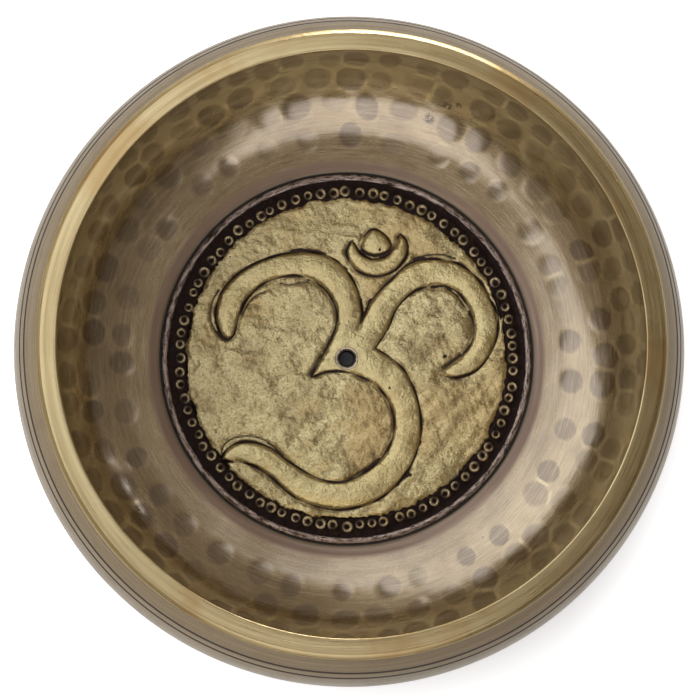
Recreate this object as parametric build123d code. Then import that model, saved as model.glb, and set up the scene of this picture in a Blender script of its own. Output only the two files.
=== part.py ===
"""Singing bowl: a turned and hammered bronze bowl with a cast medallion riveted into its floor.

Frame: millimetres, +Z up. The origin is on the bowl's axis, on the plane that the foot rests on.
The sign on the medallion reads upright with +Y up.
"""
from build123d import *
import os

# Bowl, outside
BELLY_RADIUS = 80.0           # widest part of the bowl
BELLY_HEIGHT = 35.0           # height of the widest part
BOWL_HEIGHT = 72.0            # foot to rim
RIM_INSET = 7.9               # how far the rim is drawn in from the belly
RIM_THICKNESS = 5.05          # width of the rim's top, bevel included
RIM_OUTER_BEVEL = 1.0         # broken edge outside the rim
RIM_INNER_BEVEL = 0.45        # broken edge inside the rim
FOOT_RADIUS = 46.0            # where the flat foot ends
GROOVE_DROP = 9.8             # rim to the upper turned line
GROOVE_PITCH = 4.5            # upper turned line to the lower one
GROOVE_WIDTH = 0.7
GROOVE_DEPTH = 0.3

# Bowl, inside and underneath
WALL = 3.6                    # wall at the belly
FLOOR_HEIGHT = 6.2            # top of the floor beside the medallion
FLOOR_LEDGE = 3.8             # flat floor between the medallion's seat and the curved wall
FOOT_RING_WIDTH = 8.0         # flat ring that the bowl stands on
FOOT_RECESS = 1.2             # depth of the hollow inside the foot ring

# Medallion
MEDALLION_RADIUS = 46.3
MEDALLION_THICKNESS = 1.8     # underside to the flange's top
FLANGE_WIDTH = 1.2            # plain flange at the medallion's edge
CHANNEL_WIDTH = 1.8           # channel that holds the black inlay
CHANNEL_DEPTH = 0.8
BORDER_WIDTH = 2.95           # band that carries the beads
BORDER_DEPTH = 0.5            # how far that band lies below the field
BEAD_COUNT = 80
BEAD_RADIUS = 1.18
BEAD_HEIGHT = 0.65
BEAD_DIMPLE_RADIUS = 0.55
BEAD_DIMPLE_DEPTH = 0.325
SIGN_HEIGHT = 0.6             # relief of the sign above the field
SIGN_DRAWN_RADIUS = 39.65     # field radius that the sign's points are drawn for

# Black pitch that beds the medallion, and the inlay in its channel
BEDDING_THICKNESS = 0.3
SEAM_WIDTH = 0.45             # gap round the medallion, filled with pitch
SEAM_DEPTH = 0.35             # pitch surface below the flange's top
INLAY_DEPTH = 0.25            # inlay surface below the flange's top

# Tubular rivet
RIVET_BORE_RADIUS = 1.75
RIVET_WALL = 0.5
RIVET_HEAD_RADIUS = 2.9
RIVET_HEAD_DEPTH = 1.1        # height of the flared head
RIVET_HEAD_LIP = 0.45         # width of the head's flat lip
RIVET_TAIL_RADIUS = 3.6
RIVET_TAIL_THICKNESS = 0.55
RIVET_CLEARANCE = 0.1         # round the shank, in the medallion and the floor

# Places that follow from the sizes above
MEDALLION_TOP = FLOOR_HEIGHT
MEDALLION_BOTTOM = MEDALLION_TOP - MEDALLION_THICKNESS
SEAT_RADIUS = MEDALLION_RADIUS + SEAM_WIDTH
SEAT_HEIGHT = MEDALLION_BOTTOM - BEDDING_THICKNESS
CHANNEL_OUTER = MEDALLION_RADIUS - FLANGE_WIDTH
CHANNEL_INNER = CHANNEL_OUTER - CHANNEL_WIDTH
FIELD_RADIUS = CHANNEL_INNER - BORDER_WIDTH
BEAD_RING_RADIUS = FIELD_RADIUS + BORDER_WIDTH / 2
SIGN_TOP = MEDALLION_TOP + SIGN_HEIGHT
RIM_RADIUS = BELLY_RADIUS - RIM_INSET
MOUTH_RADIUS = RIM_RADIUS - RIM_THICKNESS
FLOOR_EDGE = SEAT_RADIUS + FLOOR_LEDGE
INNER_BELLY_RADIUS = BELLY_RADIUS - WALL
RECESS_RADIUS = FOOT_RADIUS - FOOT_RING_WIDTH
SHANK_RADIUS = RIVET_BORE_RADIUS + RIVET_WALL
RIVET_HOLE_RADIUS = SHANK_RADIUS + RIVET_CLEARANCE
CUTTER_LENGTH = 3 * BOWL_HEIGHT  # long enough to cut right through from the origin

# The sign's outlines, from end to end, x to the right and y up
UPPER_LOBE_OUTSIDE = [
    (-29.2, 4.9), (-30.7, 6.1), (-32.0, 10.2), (-30.9, 15.4), (-26.8, 20.4), (-20.0, 24.2),
    (-11.0, 26.0), (-3.4, 24.3), (1.6, 18.6), (3.5, 12.2), (2.9, 7.3),
]
TAIL_OUTSIDE = [
    (2.9, 7.3), (4.7, 10.6), (6.3, 14.1), (11.0, 19.0), (15.6, 23.0), (21.5, 24.3), (28.0, 22.8),
    (33.2, 18.0), (36.6, 11.0), (36.5, 4.5), (32.6, -2.0), (28.0, -4.3), (24.6, -4.2), (23.8, -3.2),
]
TAIL_INSIDE = [
    (23.8, -3.2), (25.2, -2.0), (28.2, 0.2), (30.9, 3.6), (31.6, 7.8), (30.2, 12.8), (27.0, 17.0),
    (22.2, 18.3), (16.6, 16.8), (12.2, 12.6), (9.8, 7.4), (6.6, 2.4),
]
LOWER_LOBE_OUTSIDE = [
    (6.6, 2.4), (10.6, -0.1), (14.2, -3.6), (16.8, -9.2), (18.0, -16.0), (16.9, -22.8), (13.2, -29.6),
    (6.8, -34.8), (-0.5, -36.8), (-7.0, -36.1), (-13.0, -33.6), (-19.0, -28.5), (-24.5, -25.5),
    (-30.8, -25.0),
]
LOWER_LOBE_INSIDE = [
    (-30.8, -25.0), (-28.6, -22.0), (-24.5, -20.7), (-19.5, -22.0), (-14.0, -25.9), (-7.5, -29.6),
    (-1.0, -30.7), (5.0, -27.9), (10.0, -23.0), (11.9, -17.0), (10.8, -11.2), (7.0, -6.2),
    (1.0, -3.3), (-4.5, -3.0), (-8.3, -4.2),
]
UPPER_LOBE_INSIDE = [
    (-8.3, -4.2), (-5.0, 1.8), (-2.6, 7.2), (-2.2, 11.6), (-4.4, 16.3), (-8.6, 19.7), (-14.0, 20.6),
    (-20.2, 18.9), (-24.6, 15.0), (-26.9, 10.2), (-27.9, 6.2), (-29.2, 4.9),
]
CRESCENT_OUTSIDE = [
    (1.3, 28.6), (0.2, 26.0), (2.2, 22.3), (6.5, 20.6), (11.3, 21.7), (14.4, 25.2), (14.6, 28.6),
    (13.3, 30.3),
]
CRESCENT_INSIDE = [
    (13.3, 30.3), (12.2, 27.6), (10.2, 25.2), (6.8, 24.1), (3.6, 25.4), (1.3, 28.6),
]
DROP = [
    (6.7, 31.6), (9.4, 30.1), (10.7, 27.6), (8.9, 26.0), (6.0, 25.8), (3.9, 27.4), (4.6, 29.9),
]


def tangent_arc_radius(inset, rise):
    """Radius of an arc that starts upright and moves in by inset over the given rise."""
    return (inset ** 2 + rise ** 2) / (2 * inset)


def shoulder_radius(height):
    """Outside radius of the bowl at a height above the belly."""
    rise = BOWL_HEIGHT - RIM_OUTER_BEVEL - BELLY_HEIGHT
    arc = tangent_arc_radius(RIM_INSET, rise)
    return BELLY_RADIUS - arc + (arc ** 2 - (height - BELLY_HEIGHT) ** 2) ** 0.5


def flat_ring(outer, inner, bottom, top):
    """A flat ring about the bowl's axis."""
    section = Rectangle(outer - inner, top - bottom, align=(Align.MIN, Align.MIN))
    return revolve(Plane.XZ * Pos(inner, bottom) * section, Axis.Z)


def bowl_shell():
    """Foot, wall, rim and floor, with the seat for the medallion."""
    belly = (BELLY_RADIUS, BELLY_HEIGHT)
    rim_outside = (RIM_RADIUS, BOWL_HEIGHT - RIM_OUTER_BEVEL)
    lip_inside = (MOUTH_RADIUS, BOWL_HEIGHT - RIM_INNER_BEVEL)
    inner_belly = (INNER_BELLY_RADIUS, BELLY_HEIGHT)
    floor_edge = (FLOOR_EDGE, FLOOR_HEIGHT)
    with BuildSketch(Plane.XZ) as section:
        with BuildLine():
            Polyline((0, FOOT_RECESS), (RECESS_RADIUS, FOOT_RECESS), (RECESS_RADIUS, 0), (FOOT_RADIUS, 0))
            EllipticalCenterArc(
                (FOOT_RADIUS, BELLY_HEIGHT),
                BELLY_RADIUS - FOOT_RADIUS,
                BELLY_HEIGHT,
                start_angle=-90,
                arc_size=90,
            )
            TangentArc(belly, rim_outside, tangent=(0, 1))
            Polyline(
                rim_outside,
                (RIM_RADIUS - RIM_OUTER_BEVEL, BOWL_HEIGHT),
                (MOUTH_RADIUS + RIM_INNER_BEVEL, BOWL_HEIGHT),
                lip_inside,
            )
            TangentArc(inner_belly, lip_inside, tangent=(0, 1))
            EllipticalCenterArc(
                (FLOOR_EDGE, BELLY_HEIGHT),
                INNER_BELLY_RADIUS - FLOOR_EDGE,
                BELLY_HEIGHT - FLOOR_HEIGHT,
                start_angle=-90,
                arc_size=90,
            )
            Polyline(
                floor_edge,
                (SEAT_RADIUS, FLOOR_HEIGHT),
                (SEAT_RADIUS, SEAT_HEIGHT),
                (0, SEAT_HEIGHT),
                (0, FOOT_RECESS),
            )
        make_face()
    shell = revolve(section.sketch, Axis.Z)
    shell -= turned_lines()
    shell -= Cylinder(RIVET_HOLE_RADIUS, CUTTER_LENGTH)
    return shell


def turned_lines():
    """The cutters of the two fine lines turned round the shoulder."""
    cutters = []
    for line in range(2):
        height = BOWL_HEIGHT - GROOVE_DROP - line * GROOVE_PITCH
        radius = shoulder_radius(height)
        with BuildSketch(Plane.XZ) as notch:
            with BuildLine():
                Polyline(
                    (radius - GROOVE_DEPTH, height),
                    (radius + GROOVE_DEPTH, height + GROOVE_WIDTH),
                    (radius + GROOVE_DEPTH, height - GROOVE_WIDTH),
                    close=True,
                )
            make_face()
        cutters.append(revolve(notch.sketch, Axis.Z))
    return cutters


def stroke(*sides):
    """A raised flat shape whose sides are smooth curves, scaled to the field."""
    scale_to_field = FIELD_RADIUS / SIGN_DRAWN_RADIUS
    with BuildSketch(Plane.XY.offset(MEDALLION_TOP)) as outline:
        with BuildLine():
            for side in sides:
                points = [(x * scale_to_field, y * scale_to_field) for x, y in side]
                Spline(*points, periodic=len(sides) == 1)
        make_face()
    return extrude(outline.sketch, SIGN_HEIGHT)


def raised_sign():
    """The sign's body, its crescent and its drop."""
    body = stroke(
        UPPER_LOBE_OUTSIDE,
        TAIL_OUTSIDE,
        TAIL_INSIDE,
        LOWER_LOBE_OUTSIDE,
        LOWER_LOBE_INSIDE,
        UPPER_LOBE_INSIDE,
    )
    return [body, stroke(CRESCENT_OUTSIDE, CRESCENT_INSIDE), stroke(DROP)]


def beads():
    """Small punched rings, evenly round the border."""
    base = MEDALLION_TOP - BORDER_DEPTH
    bead = Cylinder(BEAD_RADIUS, BEAD_HEIGHT, align=(Align.CENTER, Align.CENTER, Align.MIN))
    bead -= Pos(0, 0, BEAD_HEIGHT - BEAD_DIMPLE_DEPTH) * Cylinder(
        BEAD_DIMPLE_RADIUS, BEAD_DIMPLE_DEPTH, align=(Align.CENTER, Align.CENTER, Align.MIN)
    )
    return [Pos(0, 0, base) * place * bead for place in PolarLocations(BEAD_RING_RADIUS, BEAD_COUNT)]


def medallion():
    """Cast disc with its border of beads and the raised sign."""
    disc = Pos(0, 0, MEDALLION_BOTTOM) * Cylinder(
        MEDALLION_RADIUS, MEDALLION_THICKNESS, align=(Align.CENTER, Align.CENTER, Align.MIN)
    )
    disc -= flat_ring(CHANNEL_OUTER, CHANNEL_INNER, MEDALLION_TOP - CHANNEL_DEPTH, SIGN_TOP)
    disc -= flat_ring(CHANNEL_INNER, FIELD_RADIUS, MEDALLION_TOP - BORDER_DEPTH, SIGN_TOP)
    disc = disc + beads() + raised_sign()
    disc -= Cylinder(RIVET_HOLE_RADIUS, CUTTER_LENGTH)
    disc -= rivet_head(0, 0)
    return disc


def medallion_bedding():
    """Thin cup of black pitch under the medallion and up its edge."""
    bed = flat_ring(SEAT_RADIUS, 0, SEAT_HEIGHT, MEDALLION_TOP - SEAM_DEPTH)
    bed -= flat_ring(MEDALLION_RADIUS, 0, MEDALLION_BOTTOM, MEDALLION_TOP)
    bed -= Cylinder(RIVET_HOLE_RADIUS, CUTTER_LENGTH)
    return bed


def channel_inlay():
    """Black inlay that fills the medallion's channel."""
    floor = MEDALLION_TOP - CHANNEL_DEPTH
    return flat_ring(CHANNEL_OUTER, CHANNEL_INNER, floor, MEDALLION_TOP - INLAY_DEPTH)


def rivet_head(throat_radius, mouth_radius):
    """Countersunk head under the sign's surface, hollow from its mouth down to its throat."""
    neck = SIGN_TOP - RIVET_HEAD_DEPTH
    with BuildSketch(Plane.XZ) as section:
        with BuildLine():
            Polyline(
                (throat_radius, neck),
                (SHANK_RADIUS, neck),
                (RIVET_HEAD_RADIUS, SIGN_TOP),
                (mouth_radius, SIGN_TOP),
                close=True,
            )
        make_face()
    return revolve(section.sketch, Axis.Z)


def hollow_rivet():
    """Tubular rivet through the medallion and the floor, its tail rolled over underneath."""
    neck = SIGN_TOP - RIVET_HEAD_DEPTH
    tail_bottom = FOOT_RECESS - RIVET_TAIL_THICKNESS
    rivet = rivet_head(RIVET_BORE_RADIUS, RIVET_HEAD_RADIUS - RIVET_HEAD_LIP)
    rivet += flat_ring(SHANK_RADIUS, RIVET_BORE_RADIUS, tail_bottom, neck)
    rivet += flat_ring(RIVET_TAIL_RADIUS, RIVET_BORE_RADIUS, tail_bottom, FOOT_RECESS)
    return rivet


PARTS = {
    "bowl_shell": bowl_shell,
    "medallion": medallion,
    "medallion_bedding": medallion_bedding,
    "channel_inlay": channel_inlay,
    "hollow_rivet": hollow_rivet,
}

os.makedirs("parts", exist_ok=True)
for name, build in PARTS.items():
    export_step(build(), f"parts/{name}.step")
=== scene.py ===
import math

import bpy
import numpy as np
from mathutils import Matrix, Quaternion, Vector, geometry


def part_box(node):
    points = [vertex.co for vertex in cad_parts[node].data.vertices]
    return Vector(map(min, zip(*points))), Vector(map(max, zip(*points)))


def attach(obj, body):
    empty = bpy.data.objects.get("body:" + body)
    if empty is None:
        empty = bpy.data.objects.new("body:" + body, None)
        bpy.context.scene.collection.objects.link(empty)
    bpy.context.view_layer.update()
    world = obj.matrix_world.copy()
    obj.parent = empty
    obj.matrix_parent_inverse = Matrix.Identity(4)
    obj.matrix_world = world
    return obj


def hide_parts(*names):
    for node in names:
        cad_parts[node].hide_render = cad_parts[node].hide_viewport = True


# Looks of the singing bowl, built round its CAD model.
# Lengths are millimetres unless a comment says metres, and are turned into metres when a mesh or a material
# is made. The bowl's axis is Z, and azimuths are degrees from +X towards +Y.

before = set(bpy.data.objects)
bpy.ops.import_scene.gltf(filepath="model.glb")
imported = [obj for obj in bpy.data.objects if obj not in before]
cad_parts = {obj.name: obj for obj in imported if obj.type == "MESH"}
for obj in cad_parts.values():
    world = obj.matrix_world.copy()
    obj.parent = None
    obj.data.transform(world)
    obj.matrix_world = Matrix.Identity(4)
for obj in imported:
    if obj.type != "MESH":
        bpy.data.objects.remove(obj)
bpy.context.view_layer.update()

MM = 0.001


def edge_of(node, corner, axis):
    """One face of a CAD node's box, in millimetres."""
    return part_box(node)[corner][axis] / MM


# Sizes read from the frame
BELLY_RADIUS = edge_of("bowl_shell", 1, 0)
BOWL_HEIGHT = edge_of("bowl_shell", 1, 2)
MEDALLION_RADIUS = edge_of("medallion", 1, 0)
MEDALLION_BOTTOM = edge_of("medallion", 0, 2)
SIGN_TOP = edge_of("medallion", 1, 2)
SEAT_RADIUS = edge_of("medallion_bedding", 1, 0)
SEAT_HEIGHT = edge_of("medallion_bedding", 0, 2)
CHANNEL_OUTER = edge_of("channel_inlay", 1, 0)
RIVET_TAIL_RADIUS = edge_of("hollow_rivet", 1, 0)
RIVET_BOTTOM = edge_of("hollow_rivet", 0, 2)

# Sizes inside those boxes, the same as the CAD model's
BELLY_HEIGHT = 35.0
RIM_INSET = 7.9
RIM_THICKNESS = 5.05
RIM_OUTER_BEVEL = 1.0
RIM_INNER_BEVEL = 0.45
FOOT_RADIUS = 46.0
FOOT_RING_WIDTH = 8.0
FOOT_RECESS = 1.2
GROOVE_DROP = 9.8
GROOVE_PITCH = 4.5
GROOVE_HALF_WIDTH = 0.55
GROOVE_DEPTH = 0.5
WALL = 3.6
FLOOR_LEDGE = 3.8
SIGN_HEIGHT = 0.6
BORDER_WIDTH = 2.95
CHANNEL_WIDTH = 1.8
CHANNEL_DEPTH = 0.8
BORDER_DEPTH = 0.5
BEAD_COUNT = 80
RIVET_BORE_RADIUS = 1.75
RIVET_WALL = 0.5
RIVET_HEAD_RADIUS = 2.9
RIVET_HEAD_DEPTH = 1.1
RIVET_HEAD_LIP = 0.45
RIVET_TAIL_THICKNESS = 0.55
RIVET_CLEARANCE = 0.1
SIGN_DRAWN_RADIUS = 39.65

# Places that follow
FLOOR_HEIGHT = SIGN_TOP - SIGN_HEIGHT
CHANNEL_INNER = CHANNEL_OUTER - CHANNEL_WIDTH
FIELD_RADIUS = CHANNEL_INNER - BORDER_WIDTH
BEAD_RING_RADIUS = FIELD_RADIUS + BORDER_WIDTH / 2
RIM_RADIUS = BELLY_RADIUS - RIM_INSET
MOUTH_RADIUS = RIM_RADIUS - RIM_THICKNESS
INNER_BELLY_RADIUS = BELLY_RADIUS - WALL
FLOOR_EDGE = SEAT_RADIUS + FLOOR_LEDGE
RECESS_RADIUS = FOOT_RADIUS - FOOT_RING_WIDTH
SHANK_RADIUS = RIVET_BORE_RADIUS + RIVET_WALL
RIVET_HOLE_RADIUS = SHANK_RADIUS + RIVET_CLEARANCE
TURNED_LINES = [BOWL_HEIGHT - GROOVE_DROP - k * GROOVE_PITCH for k in range(2)]

# Shapes that only the visual model has. The rim's top falls outwards, and the floor is dished: lower at the
# seat, higher a little way out, and as in the CAD model again at a wider radius.
RIM_SLOPE = 0.32
DISH_DROP = 0.30
DISH_LIFT = 0.40
DISH_WIDTH = 6.5
DISH_END = 72.0

# Rings of hammer marks: distance along the wall, count, half size, depth, off-centre shift
INSIDE_ROWS = [
    (6.4, 34, 3.25, 0.12, 1.3),
    (14.4, 43, 3.80, 0.13, 0.6),
    (21.6, 50, 3.85, 0.13, 0.3),
    (28.4, 57, 3.65, 0.13, 0.0),
    (35.2, 57, 3.50, 0.12, 0.0),
    (42.0, 56, 3.50, 0.12, 0.0),
    (48.8, 55, 3.50, 0.12, 0.0),
    (55.6, 55, 3.50, 0.11, 0.0),
    (62.4, 54, 3.40, 0.10, 0.0),
    (69.0, 53, 3.30, 0.09, 0.0),
    (75.2, 52, 3.10, 0.07, 0.0),
]
OUTSIDE_ROWS = [(8.0 + 7.6 * k, 44 + 2 * k, 3.7, 0.12, 0.0) for k in range(6)]
HAMMERED_TOP = BELLY_HEIGHT + 4.0  # the outside is hammered up to here

# Heights on the inside where the wall's colour turns yellower, is fully so, and where the upper wall begins
LOW_WALL = 9.0
YELLOW_WALL = 15.5
UPPER_WALL = 20.0

# The dull stain round the medallion fades out between these radii
STAIN_INNER = SEAT_RADIUS + 2.05
STAIN_OUTER = SEAT_RADIUS + 3.85

# The foot ring is worn bright below the first height, and fully so below the second
FOOT_WEAR_TOP = 0.7
FOOT_WEAR_FULL = 0.1

# Painted shade darkens the outside towards the east-south-east between these distances from the axis
EAST_SHADE_START = -10.0
EAST_SHADE_END = 75.0

# Small corroded places on the inside: azimuth, radius, height and size of each
CORRODED = [
    (68.0, 67.0, 13.4, 2.1),
    (71.0, 63.2, 10.2, 1.9),
    (66.0, 68.4, 14.4, 1.2),
    (307.2, 56.2, 7.0, 0.55),
]

# Mesh density: points round each turned piece, and the steps between points elsewhere
AROUND = 510
MEDALLION_AROUND = 360
FIELD_AROUND = 620
INLAY_AROUND = 720
RIVET_AROUND = 72
BEAD_AROUND = 20
INSIDE_STEP = 0.6
UPPER_INSIDE_STEP = 1.3
OUTSIDE_STEP = 2.1
FIELD_STEP = 0.42
OUTLINE_STEP = 0.32
OUTLINE_ROWS = [-1.15, -0.8, -0.5, -0.25, 0.22, 0.45, 0.8]

# Distances to lines are worked out in batches of points, and only this near to a line's box
BATCH = 20000
REACH = 6.0

# Rows of the bowl's mesh that are still on the lip, past its highest one
LIP_ROWS = 8

# Stand for no hammer mark near, in half sizes of a mark, and for a row of the mesh that has no marks
FAR = 9.0
NOWHERE = 1e6

# The studio floor glows by itself, but has a painted shadow under the bowl, round a middle that is off the
# axis
FLOOR_HALF = 3000.0
FLOOR_GLOW = 0.68
FLOOR_SHADE_GLOW = 0.012
SHADE_X = 10.0
SHADE_Y = -6.0
SHADE_END = 1.9 * FOOT_RADIUS

# The room's light, by the height of a direction of length 1, and brighter towards the north-west
HORIZON_TOP = 0.08
OVERHEAD_BOTTOM = 0.45
HORIZON_LIGHT = 0.62
OVERHEAD_LIGHT = 0.33
BRIGHT_SIDE = (-0.35, 0.30, 0.0)
ROOM_COLOUR = (1.0, 0.86, 0.68, 1)

# The camera looks down from near the axis, leaning off it towards an azimuth
CAMERA_LEAN = 3.5
CAMERA_AZIMUTH = 251.0
CAMERA_DISTANCE = 700.0
CAMERA_LENS = 149.6
CAMERA_AIM = (0.26, 0.48, 34.0)

# The sign's outlines, the same points as the CAD model's
UPPER_LOBE_OUTSIDE = [
    (-29.2, 4.9), (-30.7, 6.1), (-32.0, 10.2), (-30.9, 15.4), (-26.8, 20.4), (-20.0, 24.2),
    (-11.0, 26.0), (-3.4, 24.3), (1.6, 18.6), (3.5, 12.2), (2.9, 7.3),
]
TAIL_OUTSIDE = [
    (2.9, 7.3), (4.7, 10.6), (6.3, 14.1), (11.0, 19.0), (15.6, 23.0), (21.5, 24.3), (28.0, 22.8),
    (33.2, 18.0), (36.6, 11.0), (36.5, 4.5), (32.6, -2.0), (28.0, -4.3), (24.6, -4.2), (23.8, -3.2),
]
TAIL_INSIDE = [
    (23.8, -3.2), (25.2, -2.0), (28.2, 0.2), (30.9, 3.6), (31.6, 7.8), (30.2, 12.8), (27.0, 17.0),
    (22.2, 18.3), (16.6, 16.8), (12.2, 12.6), (9.8, 7.4), (6.6, 2.4),
]
LOWER_LOBE_OUTSIDE = [
    (6.6, 2.4), (10.6, -0.1), (14.2, -3.6), (16.8, -9.2), (18.0, -16.0), (16.9, -22.8), (13.2, -29.6),
    (6.8, -34.8), (-0.5, -36.8), (-7.0, -36.1), (-13.0, -33.6), (-19.0, -28.5), (-24.5, -25.5),
    (-30.8, -25.0),
]
LOWER_LOBE_INSIDE = [
    (-30.8, -25.0), (-28.6, -22.0), (-24.5, -20.7), (-19.5, -22.0), (-14.0, -25.9), (-7.5, -29.6),
    (-1.0, -30.7), (5.0, -27.9), (10.0, -23.0), (11.9, -17.0), (10.8, -11.2), (7.0, -6.2),
    (1.0, -3.3), (-4.5, -3.0), (-8.3, -4.2),
]
UPPER_LOBE_INSIDE = [
    (-8.3, -4.2), (-5.0, 1.8), (-2.6, 7.2), (-2.2, 11.6), (-4.4, 16.3), (-8.6, 19.7), (-14.0, 20.6),
    (-20.2, 18.9), (-24.6, 15.0), (-26.9, 10.2), (-27.9, 6.2), (-29.2, 4.9),
]
CRESCENT_OUTSIDE = [
    (1.3, 28.6), (0.2, 26.0), (2.2, 22.3), (6.5, 20.6), (11.3, 21.7), (14.4, 25.2), (14.6, 28.6),
    (13.3, 30.3),
]
CRESCENT_INSIDE = [
    (13.3, 30.3), (12.2, 27.6), (10.2, 25.2), (6.8, 24.1), (3.6, 25.4), (1.3, 28.6),
]
DROP = [
    (6.7, 31.6), (9.4, 30.1), (10.7, 27.6), (8.9, 26.0), (6.0, 25.8), (3.9, 27.4), (4.6, 29.9),
]

# Second strokes of the chasing tool beside the outlines
SECOND_STROKES = [
    [(-29.9, 4.6), (-31.8, 6.1), (-33.3, 8.8), (-33.5, 11.6), (-32.9, 14.4), (-31.4, 16.9)],
    [(-13.4, 26.5), (-10.5, 26.9), (-7.6, 26.6), (-5.2, 25.9)],
    [(-25.7, 10.9), (-24.4, 13.2), (-22.4, 15.4), (-20.2, 16.4)],
    [(-16.4, 18.6), (-14.0, 18.1), (-11.5, 18.7), (-9.4, 18.8)],
    [
        (-30.9, -23.4), (-30.2, -21.4), (-28.0, -19.7), (-24.5, -19.1), (-21.0, -19.7), (-18.0, -21.7),
        (-15.6, -23.9),
    ],
    [(16.6, 24.6), (19.8, 25.5), (23.5, 25.6), (26.8, 24.6)],
    [(23.2, -2.4), (25.4, -1.0), (27.8, 0.9)],
    [(0.4, -29.6), (4.4, -27.2), (8.0, -24.7)],
    [(-9.1, -3.8), (-7.4, -0.8), (-6.3, 1.0)],
    [(3.4, 2.2), (5.0, 1.9), (6.8, 2.3)],
    [(11.0, 11.3), (13.2, 14.2), (16.2, 15.9)],
    [(25.2, 17.0), (27.4, 15.2), (29.0, 12.8)],
]


# ---------------------------------------------------------------- numbers


def smooth(low, high, value):
    """0 below low, 1 above high, and a smooth step between them."""
    t = np.clip((value - low) / (high - low), 0, 1)
    return t * t * (3 - 2 * t)


def bell(value, width):
    """A smooth hump of height 1 about zero."""
    return np.exp(-((value / width) ** 2))


def ripple(points, wavelength, seed, waves=14):
    """Smooth random relief between about -1 and 1, from crossing waves near one wavelength."""
    rng = np.random.default_rng(seed)
    total = np.zeros(len(points))
    dims = points.shape[1]
    for _ in range(waves):
        direction = rng.normal(size=dims)
        direction /= np.linalg.norm(direction)
        length = wavelength * rng.uniform(0.7, 1.6)
        total += np.sin(points @ direction * (2 * math.pi / length) + rng.uniform(0, 2 * math.pi))
    return total / math.sqrt(waves)


def sampled_curve(points, step, closed=False):
    """Points about a step apart on a smooth curve through the given ones."""
    p = np.array(points, float)
    if closed:
        p = np.vstack([p[-1], p, p[0], p[1]])
    else:
        p = np.vstack([2 * p[0] - p[1], p, 2 * p[-1] - p[-2]])
    out = []
    for a, b, c, d in zip(p[:-3], p[1:-2], p[2:-1], p[3:]):
        count = max(2, int(np.linalg.norm(c - b) / step))
        t = np.linspace(0, 1, count, endpoint=False)[:, None]
        bend, twist = 2 * a - 5 * b + 4 * c - d, 3 * b - a - 3 * c + d
        out.append(0.5 * (2 * b + (c - a) * t + bend * t**2 + twist * t**3))
    if not closed:
        out.append(p[-2][None])
    return np.vstack(out)


def distance_to_lines(points, lines):
    """Distance from each point to the nearest of several polylines, or a huge number when out of reach."""
    best = np.full(len(points), 1e9)
    for line in lines:
        a, b = line[:-1], line[1:]
        low, high = line.min(0) - REACH, line.max(0) + REACH
        for start in range(0, len(points), BATCH):
            q = points[start : start + BATCH]
            near = np.flatnonzero(((q > low) & (q < high)).all(1))
            if not len(near):
                continue
            ab = b - a
            rel = q[near][:, None, :] - a[None]
            t = np.clip((rel * ab).sum(2) / np.maximum((ab**2).sum(1), 1e-12), 0, 1)
            gap = np.sqrt(((rel - t[:, :, None] * ab) ** 2).sum(2)).min(1)
            best[start + near] = np.minimum(best[start + near], gap)
    return best


def inside_loop(points, loop):
    """True for each point inside a closed loop."""
    inside = np.zeros(len(points), bool)
    for a, b in zip(loop, np.roll(loop, -1, axis=0)):
        crosses = (a[1] > points[:, 1]) != (b[1] > points[:, 1])
        if a[1] != b[1]:
            x = a[0] + (points[:, 1] - a[1]) * (b[0] - a[0]) / (b[1] - a[1])
            inside ^= crosses & (points[:, 0] < x)
    return inside


# ---------------------------------------------------------------- meshes


def new_piece(name, vertices, faces, node, material, attributes=None):
    """A smooth-shaded mesh from millimetres, riding on the root body in place of a CAD node."""
    mesh = bpy.data.meshes.new(name)
    mesh.from_pydata((np.asarray(vertices) * MM).tolist(), [], [tuple(face) for face in faces])
    for key, values in (attributes or {}).items():
        layer = mesh.attributes.new(key, "FLOAT", "POINT")
        layer.data.foreach_set("value", np.asarray(values, np.float32))
    mesh.polygons.foreach_set("use_smooth", [True] * len(mesh.polygons))
    mesh.materials.append(material)
    mesh.update()
    piece = bpy.data.objects.new(name, mesh)
    bpy.context.scene.collection.objects.link(piece)
    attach(piece, "root")
    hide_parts(node)


def lathe_grid(profile, around):
    """Vertices, quads and azimuths of a closed profile of (radius, height) turned about Z."""
    angle = np.arange(around) * 2 * math.pi / around
    radius, height = np.array(profile).T[:, :, None]
    x, y = radius * np.cos(angle), radius * np.sin(angle)
    z = np.repeat(height, around, axis=1)
    rows = np.arange(len(profile))
    i, j = np.meshgrid(rows, np.arange(around), indexing="ij")
    i2, j2 = (i + 1) % len(profile), (j + 1) % around
    quads = np.stack([i * around + j, i * around + j2, i2 * around + j2, i2 * around + j], axis=-1)
    return np.stack([x, y, z], axis=-1), quads.reshape(-1, 4), angle


def profile_normals(profile):
    """Unit normals of a closed profile, to the right of its direction of travel."""
    along = np.roll(profile, -1, axis=0) - np.roll(profile, 1, axis=0)
    along /= np.maximum(np.linalg.norm(along, axis=1, keepdims=True), 1e-9)
    return np.stack([along[:, 1], -along[:, 0]], axis=1)


def ellipse_run(centre, radii, start, end, step):
    """Points about a step apart on an ellipse's arc, its angles in degrees."""
    fine = np.radians(np.linspace(start, end, 400))
    p = np.stack([centre[0] + radii[0] * np.cos(fine), centre[1] + radii[1] * np.sin(fine)], axis=1)
    return evenly(p, step)


def evenly(points, step):
    """The same polyline with its points an even step apart."""
    p = np.asarray(points, float)
    run = np.concatenate([[0], np.cumsum(np.linalg.norm(np.diff(p, axis=0), axis=1))])
    at = np.linspace(0, run[-1], max(2, int(round(run[-1] / step)) + 1))
    return np.stack([np.interp(at, run, p[:, 0]), np.interp(at, run, p[:, 1])], axis=1)


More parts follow.
